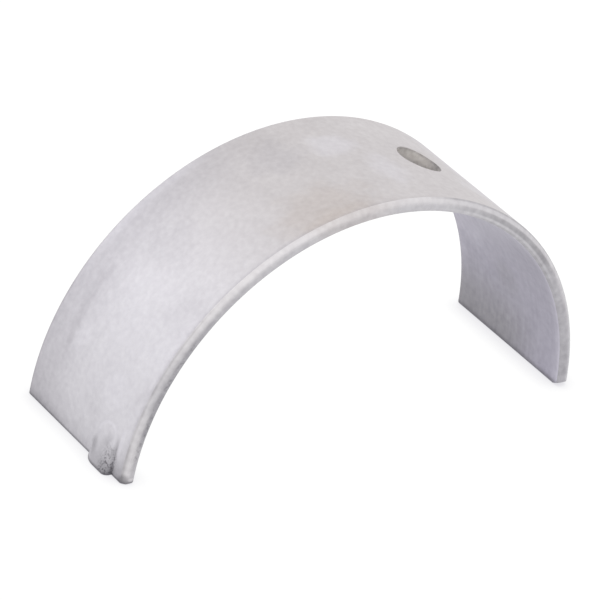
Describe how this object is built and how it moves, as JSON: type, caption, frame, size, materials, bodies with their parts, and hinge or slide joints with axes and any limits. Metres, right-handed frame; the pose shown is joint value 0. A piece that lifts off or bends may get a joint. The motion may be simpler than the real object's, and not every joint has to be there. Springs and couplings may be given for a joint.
{
  "type": "engine bearing shell",
  "caption": "Thin half-round metal shell of a split plain bearing, with chamfered edges, a drilled oil hole and a pressed-out locating tang at one parting face.",
  "frame": {"origin": "in the parting plane, midway between the two parting faces and midway along the shell", "axes": "+Y along the journal, +Z from the parting plane to the top of the arch, +X across the arch away from the locating tang"},
  "size_m": [0.0569, 0.0186, 0.0272],
  "materials": {
    "tinned_steel": "matt, fine grained flash plating"
  },
  "bodies": {
    "root": {"bearing_shell": "tinned_steel"}
  },
  "joints": []
}
